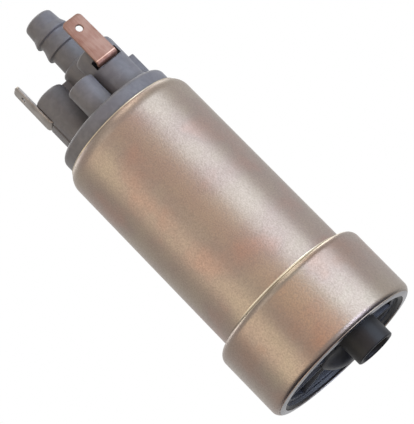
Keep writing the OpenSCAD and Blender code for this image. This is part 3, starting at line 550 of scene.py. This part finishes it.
capSetup = {
    "top": 88.7, "floor": 76.4, "skirt": 66.4, "bodyR": 17.45, "skirtInR": 13.85, "flangeR": 16.5,
    "flangeZ": 83.89, "flangeRound": 1.4, "shoulder": (14.3, 80.485), "shoulderR": 3.15,
    "shoulderEnd": 56.4, "sealZ": 78.6, "sealH": 1.7, "sealDepth": 1.6,
    "flare": 0.5,                        # hollow fillet where a tower stands on the flange
    "sunk": 1.5, "wallSunk": 1.3,        # how far towers and walls start inside the flange
    # towers: place, radius, height, upper rounding
    "left": ((-7.708, 4.45), 4.35, 16.5, 1.3), "right": ((7.708, -4.45), 5.4, 14.2, 0.8),
    "front": ((-0.3, -9.5), 3.85, 8.8, 0.5), "barb": ((3.4, 7.0), 5.4, 17.4),
    "stemR": 4.35, "ridgeR": 5.1, "ridges": (22.6, 27.0), "tip": 33.0, "boreR": 2.5,
    "narrow": {"turn": -69, "shift": 2.0, "w": 4.8, "reach": 4.9, "foot": 9.6, "in": 2.4},
    "wide": {"turn": 24, "shift": 0.9, "w": 6.3, "reach": 6.3, "foot": 8.2, "in": 3.0},
    "slotH": 2.5,
    # beside the right tower: corners seen from above, height, rounding; then thickness and height
    "wing": ((0, -2), (5.3, 2), 13.6, 0.45), "wingStep": ((0, -1.2), (7.0, 1.4), 7, 0.4),
    "web": (2.0, 15.8), "rib": (1.2, 4.0),
    # bores that show when the cap is off: radius and height over the flange or the cap's floor
    "checkBore": (3.3, 15.2), "reliefBore": (2.6, 7.0), "bearingBore": (4.52, 6),
    "chokeBore": (2.55, 7), "chokes": {"leftChoke": (-8.6, -6.48), "rightChoke": (10.12, 3.68)},
    "brushTube": {"out": 8.9, "halfX": 2.18, "halfY": 2.68, "turn": -30},
}


def flaredFoot(r, setup):                # starts inside the flange, flares where it comes out
    top, outer = setup["top"], r + setup["flare"] + 0.02
    return [(0, top - setup["sunk"]), (outer, top - setup["sunk"]), (outer, top - 0.03),
            (r, top - 0.03, setup["flare"])]


def makeTower(name, at, r, h, edge, setup, vent=0):
    top = setup["top"] + h
    crown = [(0, top)]
    if vent:
        crown = [(vent, top, 0.2), (vent, top - 2), (0, top - 2)]
    return turnOutline(name, roundOff(flaredFoot(r, setup) + [(r, top, edge)] + crown), at, 96)


def makeBarb(setup):
    at, r, h = setup["barb"]
    top, stem, ridge, bore = setup["top"], setup["stemR"], setup["ridgeR"], setup["boreR"]
    low, high = (top + z for z in setup["ridges"])
    tip = top + setup["tip"]
    outline = roundOff(flaredFoot(r, setup) + [
        (r, top + h - 0.35, 0.9), (stem, top + h, 0.25),
        (stem - 0.12, low - 0.9, 0.2), (stem - 0.08, low - 0.35, 0.2), (ridge, low - 0.05, 0.15),
        (ridge - 0.06, low + 0.6, 0.5), (stem, low + 2.7, 2.0),
        (stem - 0.12, high - 0.9, 0.2), (stem - 0.08, high - 0.35, 0.2), (ridge, high - 0.05, 0.15),
        (ridge - 0.06, high + 0.5, 0.5),
        (stem + 0.05, high + 2.1, 1.2), (stem - 0.3, tip, 1.1), (bore, tip, 0.25),
        (bore, top + h - 2.4), (0, top + h - 2.4)])
    return turnOutline("barb", outline, at)


def makeCap(setup):
    top, floor, sealZ, sealH = setup["top"], setup["floor"], setup["sealZ"], setup["sealH"]
    body = roundOff([
        (0, floor), (setup["skirtInR"], floor, 0.3), (setup["skirtInR"], setup["skirt"], 0.2),
        (setup["bodyR"], setup["skirt"], 0.3), (setup["bodyR"], sealZ - sealH / 2, 0.1),
        (setup["bodyR"] - setup["sealDepth"], sealZ - sealH / 2, 0.1),
        (setup["bodyR"] - setup["sealDepth"], sealZ + sealH / 2, 0.1),
        (setup["bodyR"], sealZ + sealH / 2, 0.1)], 4)
    body += arcPoints(setup["shoulder"], setup["shoulderR"], 0, setup["shoulderEnd"])
    body += roundOff([(0, top), (setup["flangeR"], setup["flangeZ"]),
                      (setup["flangeR"], top, setup["flangeRound"]), (0, top)], 8)[1:]
    cap = turnOutline("outletCap", body, steps=160)
    left, right, front, barb = (setup[n][0] for n in ("left", "right", "front", "barb"))
    narrow, wide, slotH = setup["narrow"], setup["wide"], setup["slotH"]
    towers = [makeTower("leftTower", *setup["left"], setup),
              makeTower("rightTower", *setup["right"], setup),
              makeTower("frontBoss", *setup["front"], setup, 1.0), makeBarb(setup)]
    sunk = top - setup["wallSunk"]
    walls = [                            # name, low and high corner, rounding, place, turn
        ("narrowWall", (-narrow["shift"] - 1.7, 0.2 - narrow["reach"], sunk),
         (1.7 - narrow["shift"], 0, top + narrow["foot"] - 0.1), 0.25, left, narrow["turn"])]
    for name in ("wing", "wingStep"):
        low, high, h, edge = setup[name]
        walls.append((name, (*low, sunk), (*high, top + h), edge, right, wide["turn"]))
    for name, a, b in (("web", left, barb), ("rib", front, right)):
        thick, h = setup[name]
        way = Vector(b) - Vector(a)
        walls.append((name, (0, -thick / 2, sunk), (way.length, thick / 2, top + h), 0.25, a,
                      Vector((1, 0)).angle_signed(way) * -180 / pi))
    combine(cap, towers + [mouldBlock(*wall) for wall in walls], "UNION")
    x0, z0 = -narrow["shift"] - narrow["w"] / 2 - 0.3, top + narrow["foot"]
    x1 = x0 + narrow["w"] + 0.6
    slots = [
        ("narrowSlot", (x0, -8.7, z0), (x1, narrow["in"] + 0.6, z0 + slotH), 0.15, left,
         narrow["turn"]),
        ("narrowFlat", (x0, -8.7, z0), (x1, 0.85 - narrow["reach"], z0 + 17), 0.1, left,
         narrow["turn"])]
    x0, z0 = -wide["shift"] - wide["w"] / 2 - 0.1, top + wide["foot"]
    x1 = x0 + wide["w"] + 1.5
    slots += [
        ("wideSlot", (x0, -10.8, z0), (x1, wide["in"] + 0.6, z0 + slotH), 0.2, right, wide["turn"]),
        ("wideSlotLow", (x0, -10.8, z0 - 0.5), (x1, 2 - wide["reach"], z0 + 0.5), 0.2, right,
         wide["turn"])]
    cuts = [mouldBlock(*slot) for slot in slots]
    bores = [("checkBore", barb, top, *setup["checkBore"]),
             ("reliefBore", front, top, *setup["reliefBore"]),
             ("bearingBore", (0, 0), floor, *setup["bearingBore"])]
    bores += [(name, at, floor, *setup["chokeBore"]) for name, at in setup["chokes"].items()]
    for name, at, base, r, h in bores:
        cuts.append(turnOutline(name, [(0, floor - 1), (r, floor - 1), (r, base + h),
                                       (0, base + h)], at, 64))
    tube = setup["brushTube"]
    for name, side, foot in (("rightBrush", 0, wide["foot"]), ("leftBrush", 180, narrow["foot"])):
        cuts.append(mouldBlock(name, (tube["out"] - tube["halfX"], -tube["halfY"], floor - 1),
                               (tube["out"] + tube["halfX"], tube["halfY"], top + foot + 0.2), 0.2,
                               (0, 0), side + tube["turn"]))
    combine(cap, cuts, "DIFFERENCE")
    cap.data.set_sharp_from_angle(angle=radians(30))
    dress(cap, "outlet_cap", "glassFilledNylon")


makeCap(capSetup)
print("outlet cap moulded")

coverSetup = {
    "ringR": 17.2, "pocketZ": 9.7, "faceZ": 7.1, "topZ": 13.9, "outerR": 20.85, "rimR": 19.55,
    "rimW": 1.1, "rimZ": 5.75,
    "ribs": 9, "ribStart": 22, "ribThick": 1.1,
    "hubR": 6.3, "apexZ": 3.2, "domeR": 7.6,            # the hub ends in a dome
    "nipple": (6.1, -7.9), "nippleR": 5.4, "boreR": 4.1, "bossR": 6.15,
}


def makeCover(setup):
    face, pocket, top = setup["faceZ"], setup["pocketZ"], setup["topZ"]
    rimR, outerR = setup["rimR"], setup["outerR"]
    landR = rimR - setup["rimW"]
    base = turnOutline("inletCover", roundOff([
        (0, pocket), (setup["ringR"], pocket, 0.4), (setup["ringR"], face, 0.35),
        (landR, face, 0.15), (landR + 0.1, setup["rimZ"] + 0.5, 0.2),
        (rimR, setup["rimZ"], 0.15), (rimR, face),
        (outerR - 0.7, face), (outerR, face + 0.7), (outerR, top), (0, top)]), steps=160)
    half = setup["ribThick"] / 2
    shells = [mouldBlock("rib%d" % i, (5, -half, face), (setup["ringR"] + 0.6, half, pocket + 0.5),
                         0.42, (0, 0), setup["ribStart"] + i * 360 / setup["ribs"])
              for i in range(setup["ribs"])]
    hub, dome = setup["hubR"], setup["domeR"]
    side = asin(hub / dome) * 180 / pi - 90
    crown = arcPoints((0, setup["apexZ"] + dome), dome, -90, side - 3, 14)
    shells.append(turnOutline("hub", [(0, pocket + 1), (0, setup["apexZ"])] + crown[1:] + roundOff([
        crown[-1], (hub, crown[-1][1] + 0.6, 0.8), (hub, pocket + 1)])[1:]))
    bore, r, boss = setup["boreR"], setup["nippleR"], setup["bossR"]
    shells.append(turnOutline("nipple", roundOff([
        (bore - 0.5, 0.001), (r, 0.001, 0.4), (r, face, 0.4), (boss, face, 0.3),
        (boss, pocket + 0.8), (bore - 0.5, pocket + 0.8)]), setup["nipple"], 96))
    combine(base, shells, "UNION")
    combine(base, [turnOutline("inletBore", roundOff([
        (0, -1), (bore + 0.5, -1), (bore + 0.5, -0.05), (bore, 0.35, 0.4), (bore, 12.0),
        (0, 12.0)]), setup["nipple"], 96)], "DIFFERENCE")
    base.data.set_sharp_from_angle(angle=radians(30))
    dress(base, "inlet_cover", "blackAcetal")
    base.data.materials.append(finishes["etchedAcetalWithSheen"])
    for face in base.data.polygons:      # within the rim, but not on the nipple: the etched skin with its painted bluish sheen
        middle = face.center / mm
        fromAxis, fromNipple = middle.xy.length, (middle.xy - Vector(setup["nipple"])).length
        face.material_index = int(fromAxis < landR + 0.1 and fromNipple > r + 0.1
                                  and middle.z < pocket + 0.1)


makeCover(coverSetup)
print("inlet cover moulded")

bladeSetup = {
    # place and turn of the tower, then the stamping in mm
    "wideBlade": {"node": "terminal_wide", "at": (7.708, -4.45), "turn": 24, "shift": 0.9,
                  "foot": 96.9, "w": 6.3, "h": 14.1, "reach": 6.3, "in": 3.0, "neck": 1.4,
                  "hole": 1.9, "finish": "stampedCopper", "bent": "bendHighlightCopper"},
    "narrowBlade": {"node": "terminal_narrow", "at": (-7.708, 4.45), "turn": -69, "shift": 2.0,
                    "foot": 98.3, "w": 4.8, "h": 13.7, "reach": 4.9, "in": 2.4, "neck": 0.8,
                    "hole": 1.4, "finish": "tinnedBronze"},
}
sheet = {"thick": 0.8, "bendR": 0.5, "corner": 1.2, "edge": 0.13, "holeDrop": 3.4, "taper": 0.18,
         "arcSteps": 8, "around": 16}    # points along an arc and round the strip


def makeBlade(name, setup):
    half, edge = sheet["thick"] / 2, sheet["edge"]
    outer = sheet["bendR"] + sheet["thick"]
    bend = (outer - setup["reach"], outer)
    full, neck = setup["w"] / 2, setup["neck"] / 2
    # each row: middle of the strip, way out of its face, half width, half thickness, shift
    rows = [((y, half), (0, -1), full - neck - narrow, half - thin, neck) for y, narrow, thin in (
        (setup["in"], edge, edge), (setup["in"] - edge * 0.4, edge * 0.3, edge * 0.3),
        (setup["in"] - edge, 0, 0), (bend[0] + 0.1, 0, 0))]
    rows.append(((bend[0], half), (0, -1), full, half, 0))
    steps, around = sheet["arcSteps"], sheet["around"]
    for k in range(1, steps + 1):        # round the bend
        a = radians(270 - 90 * k / steps)
        rows.append(((bend[0] + (outer - half) * cos(a), bend[1] + (outer - half) * sin(a)),
                     (cos(a), sin(a)), full, half, 0))
    bendEnd = len(rows) - 1
    corner = sheet["corner"]
    for k in range(steps + 1):           # round the tip's corners
        a = radians(90 * k / steps)
        drop = corner * (1 - sin(a))
        thin = max(0, edge - drop)
        rows.append(((half - setup["reach"], setup["h"] - drop), (-1, 0),
                     full - sheet["taper"] - corner + corner * cos(a), half - thin * 0.8, 0))
    bm = bmesh.new()
    rings = []
    for (y, z), out, wide, thick, aside in rows:
        ring = []
        for k in range(around):          # a rounded rectangle across the strip
            a = radians((k + 0.5) * 360 / around)
            u = wide - edge + edge * abs(cos(a)) if abs(cos(a)) > 0.1 else wide - edge
            v = thick - edge + edge * abs(sin(a))
            u, v = (u if cos(a) > 0 else -u), (v if sin(a) > 0 else -v)
            ring.append(bm.verts.new((u + aside - setup["shift"], y + out[0] * v, z + out[1] * v)))
        rings.append(ring)
    for i, (low, high) in enumerate(zip(rings, rings[1:])):
        for k in range(around):
            j = (k + 1) % around
            face = bm.faces.new((low[k], low[j], high[j], high[k]))
            # a painted highlight where the bend runs out
            face.material_index = int(i == bendEnd - 1 and "bent" in setup)
    bm.faces.new(rings[0])
    bm.faces.new(rings[-1])
    place = placement((*setup["at"], setup["foot"]), setup["turn"])
    bm.transform(place)
    blade = linkMesh(name, bm, 40)
    blade.data.materials.append(finishes[setup["finish"]])
    # the painted highlight's finish, on the bend's last ring of faces
    if "bent" in setup:
        blade.data.materials.append(finishes[setup["bent"]])
    r = setup["hole"] / 2
    punch = turnOutline("punch", [
        (0, -1), (r + 0.5, -1), (r + 0.12, -half), (r, -half + 0.12), (r, half - 0.12),
        (r + 0.12, half), (r + 0.5, 1), (0, 1)], steps=48)
    punch.data.transform(place @ Matrix.Translation((-setup["shift"], half - setup["reach"],
                                                     setup["h"] - sheet["holeDrop"]))
                         @ Matrix.Rotation(radians(90), 4, "X") @ Matrix.Scale(1 / mm, 4))
    combine(blade, [punch], "DIFFERENCE")
    blade.data.set_sharp_from_angle(angle=radians(40))
    dress(blade, setup["node"])


for name, setup in bladeSetup.items():
    makeBlade(name, setup)
print("blades stamped")

# A spring is wound where its CAD node lies, from its seat in the cap to the piece it pushes.
springs = {
    "brushSpring_left": {"node": "brush_spring_left", "follows": "left_brush", "wire": 0.5,
                         "turns": 7, "start": 150},
    "brushSpring_right": {"node": "brush_spring_right", "follows": "right_brush", "wire": 0.5,
                          "turns": 7, "start": -30},
    "checkSpring": {"node": "check_spring", "follows": "check_valve", "wire": 0.5, "turns": 6,
                    "start": 0},
    "reliefSpring": {"node": "relief_spring", "follows": "relief_valve", "wire": 0.4, "turns": 6,
                     "start": 0},
}
closedTurns = 0.75                       # turns that lie flat at each end
leads = {
    "brushLeadLeft": {"node": "brush_lead_left", "follows": "left_brush"},
    "brushLead_right": {"node": "brush_lead_right", "follows": "right_brush"},
}
rope = {"strands": 6, "strand": 0.36, "lay": 4.5}   # mm, copper strands twisted round one more


def windTubes(name, node, lines, ring):  # tubes along lines of (angle, radius, z), ring by ring
    low, high = (Vector(c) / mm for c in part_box(node))
    middle = (low + high) / 2
    bm = bmesh.new()
    for line in lines:
        rings = []
        for angle, radius, z in line:
            out = Vector((cos(angle), sin(angle), 0))
            point = Vector((middle.x, middle.y, z)) + radius * out
            rings.append([bm.verts.new((point + offset) * mm) for offset in ring(out)])
        for here, ahead in zip(rings, rings[1:]):
            for k in range(len(here)):
                j = (k + 1) % len(here)
                bm.faces.new((here[k], here[j], ahead[j], ahead[k]))
        bm.faces.new(rings[0])
        bm.faces.new(rings[-1])
    return linkMesh(name, bm, 50)


def stretch(piece, node):  # takes its slot's finish and stays where its CAD node lies, between its brush or valve and the cap
    part = recordOf(node)
    piece.data.materials.append(finishes[slotFinish[part["material_slot"]]])
    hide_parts(node)
    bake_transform(piece)


def makeSpring(name, setup, sides=8, perTurn=24):
    node, wire, turns = setup["node"], setup["wire"], setup["turns"]
    low, high = (Vector(c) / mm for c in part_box(node))
    radius = max(high.x - low.x, high.y - low.y) / 2 - wire / 2
    line = []
    for i in range(turns * perTurn + 1):
        t = i / perTurn
        share = min(max((t - closedTurns) / (turns - 2 * closedTurns), 0), 1)
        line.append((radians(setup["start"]) + 2 * pi * t, radius,
                     low.z + wire / 2 + (high.z - low.z - wire) * share))
    piece = windTubes(name, node, [line], lambda out: [
        wire / 2 * (cos(2 * pi * k / sides) * out + Vector((0, 0, sin(2 * pi * k / sides))))
        for k in range(sides)])
    stretch(piece, node)


def makeLead(name, setup, sides=6, steps=30):
    node, strands = setup["node"], rope["strands"]
    low, high = (Vector(c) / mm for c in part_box(node))
    height, r = high.z - low.z, rope["strand"] / 2
    lines = [[(0, 0, low.z), (0, 0, high.z)]]
    for s in range(strands):
        lines.append([(2 * pi * (s / strands + height * i / steps / rope["lay"]), 2 * r,
                       low.z + height * i / steps) for i in range(steps + 1)])
    piece = windTubes(name, node, lines, lambda out: [
        Vector((r * cos(2 * pi * k / sides), r * sin(2 * pi * k / sides), 0))
        for k in range(sides)])
    stretch(piece, node)


for name, setup in springs.items():
    makeSpring(name, setup)
for name, setup in leads.items():
    makeLead(name, setup)
print("springs and leads wound:", len(springs) + len(leads))

lampSetup = {
    # name: place, size along X and Z (m), power (W), sRGB tint
    "softboxRight": ((0.65, -0.40, 0.06), (0.66, 0.90), 8.1, "#CEE2FA"),
    "softboxRear": ((0.72, 0.35, 0.05), (0.60, 0.80), 0.7, "#DDE8FF"),
    "softboxLeft": ((-0.64, -0.38, 0.04), (0.54, 0.80), 2.3, "#FFF2D8"),
    "softboxFront": ((-0.08, -1.00, 0.10), (0.50, 0.40), 0.85, "#FFC284"),
    "softboxFrontRight": ((0.34, -0.92, 0.10), (0.40, 0.40), 0.85, "#FFD2B4"),
    "softboxBack": ((0.0, 0.50, 0.70), (0.90, 0.40), 3.4, "#FFFFFF"),
    "softboxTop": ((0.27, -0.12, 0.92), (0.58, 0.30), 2.2, "#FFFFF4"),
    "softboxFill": ((-0.40, -0.72, 0.72), (0.50, 0.40), 0.9, "#FFFFFF"),
    "softboxLow": ((0.42, -0.42, -0.42), (0.40, 0.30), 3.2, "#C4D2FF"),
}
lampAim = (0, 0, 0.06)                   # the middle of the part
cardSetup = {                            # dark felt under the part, that darkens what faces down
    "z": -0.30, "x": (-0.45, 0.45), "y": (-0.15, 0.45), "colour": "#2E3448",
}
floorSetup = {                           # fades from one radius to the other into the backdrop
    "z": -0.0004, "fade": 0.12, "r": 0.4, "corners": 64, "colour": "#E6E5E3",
}


def addLamp(name, place, size, power, tint):
    data = bpy.data.lights.new(name, "AREA")
    data.shape = "RECTANGLE"
    data.size, data.size_y = size
    data.energy = power
    data.color = linear(tint)[:3]
    lamp = bpy.data.objects.new(name, data)
    lamp.location = place
    lamp.rotation_mode = "QUATERNION"
    lamp.rotation_quaternion = (Vector(place) - Vector(lampAim)).to_track_quat("Z", "Y")
    scene.collection.objects.link(lamp)


def makeWorld(ambient):
    world = bpy.data.worlds.new("studio")
    world.use_nodes = True
    scene.world = world
    tree = world.node_tree
    tree.nodes.clear()
    path = addNode(tree, "ShaderNodeLightPath")
    seen = addNode(tree, "ShaderNodeMath", {"operation": "MAXIMUM"},
                   {0: path["Is Camera Ray"], 1: path["Is Glossy Ray"]})[0]
    shown = addNode(tree, "ShaderNodeMath", {"operation": "MAXIMUM"},
                    {0: seen, 1: path["Is Transmission Ray"]})[0]
    level = addNode(tree, "ShaderNodeMapRange", {"To Min": ambient, "To Max": 1.0},
                    {"Value": shown})[0]
    light = addNode(tree, "ShaderNodeBackground", {"Color": (1, 1, 1, 1)}, {"Strength": level})[0]
    addNode(tree, "ShaderNodeOutputWorld", links={"Surface": light})


def makeCard(setup):
    bm = bmesh.new()
    bm.faces.new([bm.verts.new((setup["x"][i], setup["y"][j], setup["z"]))
                  for i, j in ((0, 0), (1, 0), (1, 1), (0, 1))])
    card = linkMesh("darkCard", bm)
    card.visible_camera = False
    felt = bpy.data.materials.new("blackFelt")
    felt.use_nodes = True
    felt.node_tree.nodes.clear()
    surface = addNode(felt.node_tree, "ShaderNodeBsdfDiffuse", {"Color": setup["colour"]})[0]
    addNode(felt.node_tree, "ShaderNodeOutputMaterial", links={"Surface": surface})
    card.data.materials.append(felt)


def makeFloor(setup):                    # seen from above only, so a low camera looks past it
    bm = bmesh.new()
    bm.faces.new([bm.verts.new((x, y, setup["z"])) for x, y in arcPoints(
        (0, 0), setup["r"], 0, 360, setup["corners"])[:-1]])
    floor = linkMesh("floor", bm)
    if floor.data.polygons[0].normal.z < 0:
        floor.data.flip_normals()
    material = bpy.data.materials.new("paleFloorPaper")
    material.use_nodes = True
    tree = material.node_tree
    tree.nodes.clear()
    paper = addNode(tree, "ShaderNodeBsdfDiffuse", {"Color": setup["colour"]})[0]
    clear = addNode(tree, "ShaderNodeBsdfTransparent")[0]
    geometry = addNode(tree, "ShaderNodeNewGeometry")
    above = addNode(tree, "ShaderNodeMath", {"operation": "SUBTRACT", 0: 1.0},
                    {1: geometry["Backfacing"]})[0]
    away = addNode(tree, "ShaderNodeVectorMath", {"operation": "LENGTH"},
                   {0: geometry["Position"]})["Value"]
    solid = addNode(tree, "ShaderNodeMapRange", {
        "interpolation_type": "SMOOTHSTEP", "From Min": setup["fade"], "From Max": setup["r"],
        "To Min": 1.0, "To Max": 0.0}, {"Value": away})[0]
    seen = addNode(tree, "ShaderNodeMath", {"operation": "MULTIPLY"},
                   {0: above, 1: addNode(tree, "ShaderNodeLightPath")["Is Camera Ray"]})[0]
    shown = addNode(tree, "ShaderNodeMath", {"operation": "MULTIPLY"}, {0: seen, 1: solid})[0]
    surface = addNode(tree, "ShaderNodeMixShader", links={0: shown, 1: clear, 2: paper})[0]
    addNode(tree, "ShaderNodeOutputMaterial", links={"Surface": surface})
    floor.data.materials.append(material)


for name, setup in lampSetup.items():
    addLamp(name, *setup)
makeWorld(ambient=0.5)
makeFloor(floorSetup)
makeCard(cardSetup)
print("stage built")
